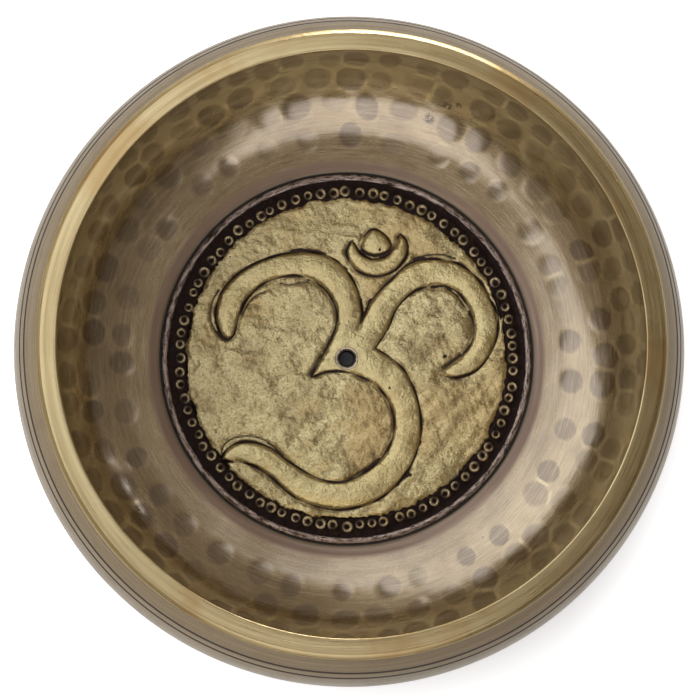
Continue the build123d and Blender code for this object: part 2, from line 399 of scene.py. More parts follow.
def upright_arc(belly, end, step):
    """An arc that leaves a belly point upright and ends at a rim point."""
    inset, rise = belly[0] - end[0], end[1] - belly[1]
    radius = (inset**2 + rise**2) / (2 * inset)
    finish = math.degrees(math.asin(rise / radius))
    return ellipse_run((belly[0] - radius, belly[1]), (radius, radius), 0, finish, step)


def turned_line(height):
    """A fine cut line on the shoulder, as steps in radius at five heights."""
    return [
        (height - GROOVE_HALF_WIDTH, 0.0),
        (height - 0.4 * GROOVE_HALF_WIDTH, -GROOVE_DEPTH),
        (height, -GROOVE_DEPTH),
        (height + 0.4 * GROOVE_HALF_WIDTH, -GROOVE_DEPTH),
        (height + GROOVE_HALF_WIDTH, 0.0),
    ]


def shoulder_with_lines(belly, rim):
    """The outside from belly to rim, with the two turned lines cut into it."""
    arc = upright_arc(belly, rim, OUTSIDE_STEP)
    fine = upright_arc(belly, rim, 0.05)
    keep = [p for p in arc if min(abs(p[1] - line) for line in TURNED_LINES) > 2 * GROOVE_HALF_WIDTH]
    for line in TURNED_LINES:
        for height, step in turned_line(line):
            keep.append((np.interp(height, fine[:, 1], fine[:, 0]) + step, height))
        for beside in (-1.6, 1.6):
            height = line + beside * GROOVE_HALF_WIDTH
            keep.append((np.interp(height, fine[:, 1], fine[:, 0]), height))
    return np.array(sorted(keep, key=lambda p: p[1]))


def bowl_profile():
    """The bowl's closed outline from the underside outwards, over the rim and back inside."""
    belly = (BELLY_RADIUS, BELLY_HEIGHT)
    rim_outside = (RIM_RADIUS, BOWL_HEIGHT - RIM_OUTER_BEVEL - 0.3)
    lip_inside = (MOUTH_RADIUS, BOWL_HEIGHT - RIM_INNER_BEVEL)
    inner_belly = (INNER_BELLY_RADIUS, BELLY_HEIGHT)
    under = evenly([(RIVET_HOLE_RADIUS, FOOT_RECESS), (RECESS_RADIUS - 1.2, FOOT_RECESS)], 5)
    foot = [
        (RECESS_RADIUS - 0.4, FOOT_RECESS - 0.2),
        (RECESS_RADIUS, 0.4),
        (RECESS_RADIUS + 0.4, 0.0),
        (RECESS_RADIUS + 3.0, 0.0),
        (FOOT_RADIUS - 2.0, 0.0),
    ]
    outer_radii = (BELLY_RADIUS - FOOT_RADIUS, BELLY_HEIGHT)
    outer_low = ellipse_run((FOOT_RADIUS, BELLY_HEIGHT), outer_radii, -90, 0, OUTSIDE_STEP)[:-1]
    outer_high = shoulder_with_lines(belly, rim_outside)
    bevel = [
        (RIM_RADIUS, BOWL_HEIGHT - RIM_OUTER_BEVEL - 0.15),
        (RIM_RADIUS - 0.04, BOWL_HEIGHT - RIM_OUTER_BEVEL),
        (RIM_RADIUS - 0.15, BOWL_HEIGHT - RIM_OUTER_BEVEL + 0.12),
        (RIM_RADIUS - RIM_OUTER_BEVEL, BOWL_HEIGHT - 1.12 * RIM_SLOPE),
        (RIM_RADIUS - 1.12 * RIM_OUTER_BEVEL, BOWL_HEIGHT - 0.97 * RIM_SLOPE),
    ]
    top_outside = (RIM_RADIUS - 1.30 * RIM_OUTER_BEVEL, BOWL_HEIGHT - 0.92 * RIM_SLOPE)
    top = evenly([top_outside, (MOUTH_RADIUS + 1.1 * RIM_INNER_BEVEL, BOWL_HEIGHT)], 0.7)
    lip_centre = (MOUTH_RADIUS + RIM_INNER_BEVEL, BOWL_HEIGHT - RIM_INNER_BEVEL)
    lip = ellipse_run(lip_centre, (RIM_INNER_BEVEL, RIM_INNER_BEVEL), 100, 180, 0.18)
    inner_high = upright_arc(inner_belly, lip_inside, UPPER_INSIDE_STEP)[::-1][1:]
    inner_radii = (INNER_BELLY_RADIUS - FLOOR_EDGE, BELLY_HEIGHT - FLOOR_HEIGHT)
    inner_low = ellipse_run((FLOOR_EDGE, BELLY_HEIGHT), inner_radii, 0, -90, INSIDE_STEP)[1:]
    ledge = evenly([(FLOOR_EDGE - 0.7, FLOOR_HEIGHT), (SEAT_RADIUS + 0.25, FLOOR_HEIGHT)], 0.7)
    seat = [
        (SEAT_RADIUS + 0.06, FLOOR_HEIGHT - DISH_DROP - 0.06),
        (SEAT_RADIUS, FLOOR_HEIGHT - DISH_DROP - 0.25),
        (SEAT_RADIUS, SEAT_HEIGHT),
        (RIVET_HOLE_RADIUS, SEAT_HEIGHT),
    ]
    floor = np.vstack([inner_low, ledge])
    along = np.clip((floor[:, 0] - SEAT_RADIUS) / DISH_WIDTH, 0, 1)
    back = np.clip((DISH_END - floor[:, 0]) / (DISH_END - SEAT_RADIUS - DISH_WIDTH), 0, 1)
    floor[:, 1] += (DISH_DROP + DISH_LIFT) * (1 - (1 - along) ** 1.5) * back - DISH_DROP * back
    return np.vstack([under, foot, outer_low, outer_high, bevel, top, lip, inner_high, floor, seat])


def hammer_marks(rows, seed):
    """Marks in rings, each ring from a row of INSIDE_ROWS or OUTSIDE_ROWS."""
    rng = np.random.default_rng(seed)
    marks = []
    for place, count, size, depth, shift in rows:
        turn = rng.uniform(0, 2 * math.pi)
        for k in range(count):
            azimuth = turn + (k + rng.normal(0, 0.12)) * 2 * math.pi / count
            marks.append({
                "place": place - shift * math.sin(azimuth) + rng.normal(0, 0.5),
                "azimuth": azimuth,
                "half_wide": size * rng.uniform(0.84, 1.16),
                "half_long": size * rng.uniform(0.84, 1.16),
                "depth": depth * rng.uniform(0.45, 1.35),
                "turn": rng.uniform(-0.6, 0.6),
                "lean": rng.normal(0, 0.6, 2),
                "tone": rng.uniform(0.4, 1.0),
                "web": rng.uniform(0.45, 1.0),
            })
    return marks


def struck(marks, place, radius, angle):
    """Depth of hammering, tone inside the marks and light ridges between them.

    Each is a grid of rows along the wall by azimuths. A vertex belongs to the mark that it's deepest
    inside, so neighbours meet in a ridge.
    """
    shape = (len(place), len(angle))
    depth, tone, ridge = np.zeros(shape), np.zeros(shape), np.zeros(shape)
    nearest, second = np.full(shape, FAR), np.full(shape, FAR)
    for mark in marks:
        reach = 1.5 * max(mark["half_wide"], mark["half_long"])
        rows = np.flatnonzero(np.abs(place - mark["place"]) < reach)
        if not len(rows):
            continue
        turn = (angle - mark["azimuth"] + math.pi) % (2 * math.pi) - math.pi
        columns = np.flatnonzero(np.abs(turn) * radius[rows].min() < reach)
        across = turn[columns][None, :] * radius[rows][:, None]
        along = np.repeat((place[rows] - mark["place"])[:, None], len(columns), axis=1)
        c, s = math.cos(mark["turn"]), math.sin(mark["turn"])
        u = (across * c + along * s) / mark["half_wide"]
        v = (along * c - across * s) / mark["half_long"]
        r = np.sqrt(u * u + v * v)
        block = np.ix_(rows, columns)
        closer = r < nearest[block]
        facet = 1 + mark["lean"][0] * u + mark["lean"][1] * v
        scoop = mark["depth"] * (np.maximum(0, 1 - r * r) * facet - 0.10 * bell(r - 1.05, 0.16))
        second[block] = np.where(closer, nearest[block], np.minimum(second[block], r))
        nearest[block] = np.where(closer, r, nearest[block])
        depth[block] = np.where(closer, scoop, depth[block])
        tone[block] = np.where(closer, mark["tone"], tone[block])
        ridge[block] = np.where(closer, mark["web"], ridge[block])
    inside = np.minimum(1 - nearest, 0.5 * (second - nearest))
    shared = 1 - smooth(1.0, 1.25, second)
    web = ridge * bell(inside + 0.01, 0.13) * (0.30 + 0.70 * shared)
    return depth, tone * smooth(0.0, 0.24, inside), web * (nearest < 1.2)


def make_bowl(material):
    """The bowl, turned from its profile and pushed in by hammering inside and below the belly."""
    profile = bowl_profile()
    grid, quads, angle = lathe_grid(profile, AROUND)
    normal = profile_normals(profile)
    run = np.concatenate([[0], np.cumsum(np.linalg.norm(np.diff(profile, axis=0), axis=1))])
    heights = profile[:, 1]
    inside = np.arange(len(profile)) > np.argmax(heights) + LIP_ROWS
    on_wall = inside & (profile[:, 0] > SEAT_RADIUS + 0.5)
    edge_row = np.argmin(np.where(inside, np.abs(profile[:, 0] - FLOOR_EDGE), NOWHERE))
    from_floor = np.where(on_wall, run[edge_row] - run, NOWHERE)
    depth, tone, web = struck(hammer_marks(INSIDE_ROWS, seed=11), from_floor, profile[:, 0], angle)
    below_belly = (~inside) & (heights < HAMMERED_TOP) & (profile[:, 0] > FOOT_RADIUS)
    from_foot = np.where(below_belly, run - run[np.flatnonzero(below_belly)[0]], NOWHERE)
    outer_depth, outer_tone, _ = struck(hammer_marks(OUTSIDE_ROWS, seed=5), from_foot, profile[:, 0], angle)
    depth += outer_depth
    tone += 0.5 * outer_tone
    flat = grid.reshape(-1, 3)
    wobble = ripple(flat, 34, 3) * 0.05 + ripple(flat, 13, 4) * 0.016
    wobble *= (on_wall | below_belly).repeat(AROUND)
    push = depth.reshape(-1) + wobble
    n = normal.repeat(AROUND, axis=0)
    a = np.tile(angle, len(profile))
    flat = flat - push[:, None] * np.stack([n[:, 0] * np.cos(a), n[:, 0] * np.sin(a), n[:, 1]], axis=1)
    off_line = np.min([np.abs(heights - line) for line in TURNED_LINES], axis=0)
    # rows in the turned lines, whose grooves get near black painted shade
    cut = (~inside) & (off_line < 1.05 * GROOVE_HALF_WIDTH)
    rim = (heights > BOWL_HEIGHT - RIM_OUTER_BEVEL - 0.2) & (profile[:, 0] > MOUTH_RADIUS - 0.1)
    attributes = {"mark": tone.reshape(-1), "web": web.reshape(-1)}
    for name, rows in (("inside", on_wall), ("rim", rim), ("cut", cut)):
        attributes[name] = rows.repeat(AROUND)
    new_piece("bowl", flat, quads, "bowl_shell", material, attributes)


# ---------------------------------------------------------------- the medallion


def sign_loops():
    """The sign's closed outlines, scaled to the field."""
    scale = FIELD_RADIUS / SIGN_DRAWN_RADIUS
    body_sides = [
        UPPER_LOBE_OUTSIDE, TAIL_OUTSIDE, TAIL_INSIDE,
        LOWER_LOBE_OUTSIDE, LOWER_LOBE_INSIDE, UPPER_LOBE_INSIDE,
    ]
    loops = []
    for sides in (body_sides, [CRESCENT_OUTSIDE, CRESCENT_INSIDE]):
        loops.append(np.vstack([sampled_curve(side, OUTLINE_STEP)[:-1] for side in sides]) * scale)
    loops.append(sampled_curve(DROP, OUTLINE_STEP, closed=True) * scale)
    return loops


def closed(loop):
    """The loop with its first point again at its end."""
    return np.vstack([loop, loop[:1]])


def signed_depth(points, loops):
    """Distance to the sign's outline, positive inside its strokes."""
    gap = distance_to_lines(points, [closed(loop) for loop in loops])
    inside = np.zeros(len(points), bool)
    for loop in loops:
        inside |= inside_loop(points, loop)
    return np.where(inside, gap, -gap)


def field_relief(points, loops, strokes):
    """The face's height above its field, how dark its patina is, and the depth inside the sign."""
    depth = signed_depth(points, loops)
    second = distance_to_lines(points, strokes)
    radius = np.linalg.norm(points, axis=1)
    wear = ripple(points, 5.0, 21)
    coarse = ripple(points, 10.0, 22)
    fine = ripple(points, 2.1, 23)
    grain = ripple(points, 0.9, 24, waves=24)
    wrinkles = ripple(points * (0.45, 1.2), 3.4, 25)
    raised = SIGN_HEIGHT * (0.72 * smooth(-0.25, 0.55, depth) + 0.40 * smooth(0.2, 2.6, depth))
    groove = -0.34 * bell(depth + 0.55, 0.40) * (1 + 0.3 * wear) - 0.10 * bell(depth + 1.0, 1.6)
    chased = -0.30 * bell(second, 0.42) * (1 + 0.3 * wear) * (depth < -0.3)
    cast = 0.15 * coarse + 0.11 * wear + 0.045 * fine + 0.016 * grain + 0.085 * wrinkles
    on_sign = smooth(0.1, 0.6, depth)
    height = raised + groove + chased + cast * (1 - 0.62 * on_sign)
    hole = smooth(RIVET_HEAD_RADIUS + 0.1, RIVET_HEAD_RADIUS + 1.6, radius)
    height = SIGN_HEIGHT * (1 - hole) + height * hole
    edge = smooth(FIELD_RADIUS - 1.1, FIELD_RADIUS, radius)
    height -= 0.35 * edge * (1 + 0.5 * wear)
    line = bell(depth + 0.34, 0.40 + 0.15 * wear) * np.clip(0.92 + 0.16 * wear, 0, 1)
    dark = np.maximum(line, 0.85 * bell(second, 0.36) * (depth < -0.2))
    dark = np.maximum(dark, 0.45 * smooth(0.5, 1.8, -wear - 0.5 * fine) * (depth < 0))
    dark = np.maximum(dark, 0.9 * smooth(FIELD_RADIUS - 0.9 + 0.5 * wear, FIELD_RADIUS + 0.1, radius))
    return height, np.clip(dark, 0, 1), depth


def field_points(loops):
    """The outlines' points, and free points: close rows beside the outlines and an even grid elsewhere."""
    outline = np.vstack(loops)
    rows = []
    for loop in loops:
        along = np.roll(loop, -1, axis=0) - np.roll(loop, 1, axis=0)
        along /= np.maximum(np.linalg.norm(along, axis=1, keepdims=True), 1e-9)
        across = np.stack([along[:, 1], -along[:, 0]], axis=1)
        rows += [loop + across * offset for offset in OUTLINE_ROWS]
    beside = np.vstack(rows)
    gap = distance_to_lines(beside, [closed(loop) for loop in loops])
    wanted = np.concatenate([np.full(len(loop), abs(o)) for loop in loops for o in OUTLINE_ROWS])
    beside = beside[np.abs(gap - wanted) < 0.06]
    steps = np.arange(-FIELD_RADIUS, FIELD_RADIUS, FIELD_STEP)
    gx, gy = np.meshgrid(steps, steps)
    gx = gx + (np.arange(len(steps)) % 2)[:, None] * FIELD_STEP / 2
    grid = np.stack([gx.ravel(), gy.ravel()], axis=1)
    grid = grid[np.linalg.norm(grid, axis=1) < FIELD_RADIUS - 0.3]
    grid = grid[distance_to_lines(grid, [closed(loop) for loop in loops]) > OUTLINE_ROWS[-1] + 0.22]
    free = np.vstack([beside, grid])
    radius = np.linalg.norm(free, axis=1)
    free = free[(radius > RIVET_HEAD_RADIUS + 0.25) & (radius < FIELD_RADIUS - 0.25)]
    return outline, free


def ring_points(radius, count):
    """Points evenly round a circle about the axis."""
    angle = np.arange(count) * 2 * math.pi / count
    return np.stack([radius * np.cos(angle), radius * np.sin(angle)], axis=1)


def make_field(material):
    """The medallion's face, closed underneath, with the sign raised on it."""
    loops = sign_loops()
    scale = FIELD_RADIUS / SIGN_DRAWN_RADIUS
    strokes = [sampled_curve(stroke, OUTLINE_STEP) * scale for stroke in SECOND_STROKES]
    outline, free = field_points(loops)
    edge = ring_points(FIELD_RADIUS, FIELD_AROUND)
    hole = ring_points(RIVET_HEAD_RADIUS - 0.02, RIVET_AROUND)
    inner = ring_points(RIVET_HEAD_RADIUS + 0.12, RIVET_AROUND)
    points = np.vstack([edge, hole, outline, inner, free])
    bounds = []
    start = 0
    for count in [len(edge), len(hole)] + [len(loop) for loop in loops]:
        index = np.arange(count) + start
        bounds += list(zip(index.tolist(), np.roll(index, -1).tolist()))
        start += count
    cut = geometry.delaunay_2d_cdt([Vector(p) for p in points], bounds, [], 0, 1e-6)
    flat = np.array([tuple(v) for v in cut[0]])
    tris = np.array([tuple(f) for f in cut[2]])
    centre = flat[tris].mean(1)
    span = np.linalg.norm(centre, axis=1)
    tris = tris[(span < FIELD_RADIUS) & (span > RIVET_HEAD_RADIUS)]
    a, b, c = flat[tris[:, 0]], flat[tris[:, 1]], flat[tris[:, 2]]
    turn = (b[:, 0] - a[:, 0]) * (c[:, 1] - a[:, 1]) - (b[:, 1] - a[:, 1]) * (c[:, 0] - a[:, 0])
    tris[turn < 0] = tris[turn < 0][:, ::-1]
    height, dark, depth = field_relief(flat, loops, strokes)
    radius = np.linalg.norm(flat, axis=1)
    azimuth = np.arctan2(flat[:, 1], flat[:, 0])
    around = np.stack([np.cos(azimuth), np.sin(azimuth)], axis=1)
    ragged = 0.30 * ripple(around * FIELD_RADIUS, 4.5, 31) + 0.16 * ripple(around * FIELD_RADIUS, 1.6, 32)
    flat = flat + around * (ragged * smooth(FIELD_RADIUS - 2.5, FIELD_RADIUS, radius))[:, None]
    top = np.column_stack([flat, FLOOR_HEIGHT + height])
    used = np.unique(tris)
    remap = np.full(len(top), -1)
    remap[used] = np.arange(len(used))
    tris, top, dark, depth = remap[tris], top[used], dark[used], depth[used]
    vertices, faces = close_below(top, tris, FLOOR_HEIGHT - BORDER_DEPTH - 0.1)
    extra = len(vertices) - len(top)
    dark = np.concatenate([dark, np.ones(extra)])
    on_sign = np.concatenate([smooth(0, 0.5, depth), np.zeros(extra)])
    attributes = {"dark": dark, "sign": on_sign}
    new_piece("medallion_face", vertices, faces, "medallion", material, attributes)


def close_below(top, tris, height):
    """Adds walls and a flat underside below an open sheet of triangles."""
    edges = np.concatenate([tris[:, [0, 1]], tris[:, [1, 2]], tris[:, [2, 0]]])
    key = set(map(tuple, edges.tolist()))
    rim = [(a, b) for a, b in key if (b, a) not in key]
    below = top.copy()
    below[:, 2] = height
    count = len(top)
    walls = [(b, a, a + count, b + count) for a, b in rim]
    under = (tris[:, ::-1] + count).tolist()
    return np.vstack([top, below]), tris.tolist() + walls + under


def make_medallion_edge(material):
    """The disc under the face: flange, channel floor and bead band."""
    top = FLOOR_HEIGHT
    band = top - BORDER_DEPTH
    bottom = MEDALLION_BOTTOM
    profile = [
        (RIVET_HOLE_RADIUS, bottom),
        (MEDALLION_RADIUS - 0.15, bottom),
        (MEDALLION_RADIUS, bottom + 0.15),
        (MEDALLION_RADIUS, top - 0.30),
        (MEDALLION_RADIUS - 0.08, top - 0.10),
        (MEDALLION_RADIUS - 0.28, top),
        (CHANNEL_OUTER, top + 0.02),
        (CHANNEL_OUTER - 0.30, top - 0.10),
        (CHANNEL_OUTER - 0.42, top - 0.34),
        (CHANNEL_OUTER - 0.45, top - CHANNEL_DEPTH),
        (CHANNEL_INNER, top - CHANNEL_DEPTH),
        (CHANNEL_INNER - 0.15, band),
        (FIELD_RADIUS - 1.5, band),
        (FIELD_RADIUS - 1.6, band - 0.3),
        (RIVET_HOLE_RADIUS, band - 0.3),
    ]
    grid, quads, _ = lathe_grid(profile, MEDALLION_AROUND)
    flat = grid.reshape(-1, 3)
    radius = np.linalg.norm(flat[:, :2], axis=1)
    uneven = ripple(flat, 6.0, 41) * 0.07 + ripple(flat, 2.2, 42) * 0.03
    on_flange = (radius > CHANNEL_OUTER - 0.35) & (flat[:, 2] > top - 0.2)
    flat[:, 2] += uneven * on_flange
    attributes = {"dark": 0.2 + 0.8 * (~on_flange), "tarnish": np.ones(len(flat))}
    new_piece("medallion_edge", flat, quads, "medallion", material, attributes)


def make_beads(material):
    """Small punched rings round the border, each a little different, with a painted highlight on its crest,
    lighter on one side, and painted shade in its middle and at its foot.
    """
    rng = np.random.default_rng(7)
    shape = np.array([
        (0.02, -0.30), (1.40, -0.30), (1.39, 0.20), (1.32, 0.46), (1.16, 0.60),
        (0.84, 0.60), (0.58, 0.46), (0.44, 0.20), (0.30, 0.06), (0.02, 0.03),
    ])
    # painted highlight on each bead's crest, fading to painted shade in its middle and at its foot
    painted_shine = np.array([0, 0.2, 0.7, 1, 1, 1, 0.8, 0.25, 0.1, 0])  # how bright each point of the shape is
    vertices, faces, bright = [], [], []
    for k in range(BEAD_COUNT):
        angle = (k + rng.normal(0, 0.07)) * 2 * math.pi / BEAD_COUNT
        size = rng.uniform(0.84, 1.08)
        sunk = 0.26 * rng.random() ** 2
        lean, toward = rng.uniform(0, 0.18), rng.uniform(0, 2 * math.pi)
        grid, quads, turn = lathe_grid(shape * (size, 1), BEAD_AROUND)
        bead = grid.reshape(-1, 3)
        bead[:, 2] += lean * (bead[:, 0] * math.cos(toward) + bead[:, 1] * math.sin(toward)) - sunk
        radius = BEAD_RING_RADIUS + rng.normal(0, 0.16)
        bead += (radius * math.cos(angle), radius * math.sin(angle), FLOOR_HEIGHT - BORDER_DEPTH + 0.12)
        faces.append(quads + len(vertices) * len(bead))
        vertices.append(bead)
        # one side of each bead painted lighter and the other darker, towards a random side
        side = np.tile(0.72 + 0.42 * np.cos(turn - rng.uniform(0, 2 * math.pi)), len(painted_shine))
        bright.append(np.repeat(painted_shine, BEAD_AROUND) * rng.uniform(0.6, 1.1) * side)
    # painted shade wherever a bead's painted highlight is weak
    dark = 1 - np.clip(np.concatenate(bright), 0, 1)
    attributes = {"dark": dark, "tarnish": np.full(len(dark), 0.45)}
    vertices, faces = np.vstack(vertices), np.vstack(faces)
    new_piece("border_beads", vertices, faces, "medallion", material, attributes)


def make_inlay(material):
    """The black inlay, uneven, from the flange over the channel and between the beads."""
    top = FLOOR_HEIGHT - 0.22
    between = FLOOR_HEIGHT - BORDER_DEPTH + 0.22
    upper = [
        (CHANNEL_OUTER + 0.05, top),
        (CHANNEL_OUTER - 0.5, top - 0.08),
        (CHANNEL_OUTER - 1.0, top - 0.14),
        (CHANNEL_INNER, top - 0.16),
        (CHANNEL_INNER - 0.4, between - 0.02),
        (BEAD_RING_RADIUS, between - 0.05),
        (FIELD_RADIUS + 0.4, between),
        (FIELD_RADIUS - 0.6, between),
    ]
    lower = [(r, FLOOR_HEIGHT - BORDER_DEPTH - 0.15) for r, _ in reversed(upper)]
    grid, quads, _ = lathe_grid(upper + lower, INLAY_AROUND)
    flat = grid.reshape(-1, 3)
    is_top = np.arange(len(flat)) < len(upper) * INLAY_AROUND
    flat[:, 2] += is_top * (0.045 * ripple(flat, 2.4, 51) + 0.03 * ripple(flat, 1.1, 52))
    new_piece("black_inlay", flat, quads[:, ::-1], "channel_inlay", material)


def make_rivet(material):
    """The tubular rivet, its flared lip and rolled tail rounded by wear."""
    neck = SIGN_TOP - RIVET_HEAD_DEPTH
    lip = RIVET_HEAD_RADIUS - RIVET_HEAD_LIP
    tail = RIVET_BOTTOM
    profile = [
        (SHANK_RADIUS, neck),
        (SHANK_RADIUS, tail + RIVET_TAIL_THICKNESS),
        (RIVET_TAIL_RADIUS - 0.1, tail + RIVET_TAIL_THICKNESS),
        (RIVET_TAIL_RADIUS, tail + 0.35),
        (RIVET_TAIL_RADIUS - 0.15, tail + 0.12),
        (RIVET_TAIL_RADIUS - 0.5, tail),
        (RIVET_BORE_RADIUS + 0.4, tail),
        (RIVET_BORE_RADIUS + 0.1, tail + 0.1),
        (RIVET_BORE_RADIUS, tail + 0.4),
        (RIVET_BORE_RADIUS, neck),
        (lip - 0.18, SIGN_TOP - 0.18),
        (lip, SIGN_TOP - 0.02),
        (lip + 0.14, SIGN_TOP + 0.03),
        (RIVET_HEAD_RADIUS - 0.16, SIGN_TOP + 0.02),
        (RIVET_HEAD_RADIUS, SIGN_TOP - 0.06),
        (RIVET_HEAD_RADIUS - 0.1, SIGN_TOP - 0.25),
    ]
    grid, quads, _ = lathe_grid(profile, RIVET_AROUND)
    new_piece("rivet", grid.reshape(-1, 3), quads[:, ::-1], "hollow_rivet", material)


# ---------------------------------------------------------------- materials


class Nodes:
    """A short way to write the node tree of a new material or world."""

    def __init__(self, owner, shader="Principled BSDF"):
        owner.use_nodes = True
        self.owner = owner
        self.tree = owner.node_tree
        self.shader = self.tree.nodes[shader]

    def add(self, kind, **settings):
        """A new node with these settings."""
        node = self.tree.nodes.new("ShaderNode" + kind)
        for name, value in settings.items():
            setattr(node, name, value)
        return node

    def feed(self, socket, value):
        """Links another node's output into a socket, or sets the socket to a constant."""
        if isinstance(value, bpy.types.NodeSocket):
            self.tree.links.new(value, socket)
        else:
            socket.default_value = value

    def link(self, output, name):
        """Links an output into the shader's socket of this name."""
        self.tree.links.new(output, self.shader.inputs[name])

    def math(self, operation, a, b=0.0):
        """One step of arithmetic between outputs or constants."""
        node = self.add("Math", operation=operation)
        self.feed(node.inputs[0], a)
        self.feed(node.inputs[1], b)
        return node.outputs[0]

    def plus(self, a, b):
        return self.math("ADD", a, b)

    def minus(self, a, b):
        return self.math("SUBTRACT", a, b)

    def times(self, a, b):
        return self.math("MULTIPLY", a, b)

    def larger(self, a, b):
        return self.math("MAXIMUM", a, b)

    def length(self, x, y):
        """Distance of a point from the axis."""
        return self.math("SQRT", self.plus(self.times(x, x), self.times(y, y)))

    def vector(self, operation, point, constant):
        """A vector operation between a point and a constant vector."""
        node = self.add("VectorMath", operation=operation)
        self.feed(node.inputs[0], point)
        self.feed(node.inputs[1], constant)
        return node.outputs

    def ramp(self, value, low, high, to_low=0.0, to_high=1.0):
        """A smooth step between two numbers while the value goes from low to high."""
        node = self.add("MapRange", interpolation_type="SMOOTHSTEP")
        sockets = ("Value", "From Min", "From Max", "To Min", "To Max")
        for name, number in zip(sockets, (value, low, high, to_low, to_high)):
            self.feed(node.inputs[name], number)
        return node.outputs[0]

    def blend(self, factor, a, b):
        """Colour a where the factor is 0, colour b where it's 1."""
        node = self.add("Mix", data_type="RGBA")
        for index, value in ((0, factor), (6, a), (7, b)):
            self.feed(node.inputs[index], (*value, 1) if isinstance(value, tuple) else value)
        return node.outputs[2]

    def paint(self, colour, *layers):
        """The colour with layers over it in turn, each a factor and a colour of 0 to 255 screen values."""
        for factor, screen in layers:
            colour = self.blend(factor, colour, srgb(*screen))
        return colour

    def noise(self, vector, scale, detail=3.0, rough=0.55):
        """Smooth noise of about this scale per unit of the vector."""
        node = self.add("TexNoise")
        sockets = ("Vector", "Scale", "Detail", "Roughness")
        for name, value in zip(sockets, (vector, scale, detail, rough)):
            self.feed(node.inputs[name], value)
        return node.outputs["Fac"]

    def attribute(self, name):
        """A number that the mesh holds at each vertex."""
        return self.add("Attribute", attribute_name=name).outputs["Fac"]

    def bump(self, height, strength, distance, normal=None):
        """A normal that follows a height, over another bump if one is given. The distance is in metres."""
        node = self.add("Bump")
        for name, value in (("Height", height), ("Strength", strength), ("Distance", distance)):
            self.feed(node.inputs[name], value)
        if normal is not None:
            self.feed(node.inputs["Normal"], normal)
        return node.outputs["Normal"]

    def place(self, output="Object"):
        """A point's coordinates in metres, or its direction, as a vector and as x, y and z."""
        point = self.add("TexCoord").outputs[output]
        split = self.add("SeparateXYZ")
        self.feed(split.inputs[0], point)
        return point, *split.outputs

    def turned(self, x, y, across, around):
        """Coordinates that change fast across the turned direction and slowly along it."""
        radius = self.larger(self.length(x, y), 1e-4)
        join = self.add("CombineXYZ")
        for socket, side in zip(join.inputs, (x, y)):
            self.feed(socket, self.times(self.math("DIVIDE", side, radius), around))
        self.feed(join.inputs[2], across)
        return join.outputs[0]


def srgb(red, green, blue):
    """A colour of 0 to 255 screen values, as the linear numbers that a shader takes."""
    return tuple(((v / 255 + 0.055) / 1.055) ** 2.4 for v in (red, green, blue))


def corrosion(n, point):
    """A mask that is high on the corroded places, broken up by noise."""
    pits = n.noise(point, 900, detail=3, rough=0.7)
    mask = 0.0
    for azimuth, radius, height, size in CORRODED:
        a = math.radians(azimuth)
        middle = Vector((radius * math.cos(a), radius * math.sin(a), height)) * MM
        gap = n.vector("DISTANCE", point, middle)["Value"]
        mask = n.larger(mask, n.ramp(gap, size * MM, 0.35 * size * MM))
    return n.times(mask, n.ramp(pits, 0.44, 0.56))


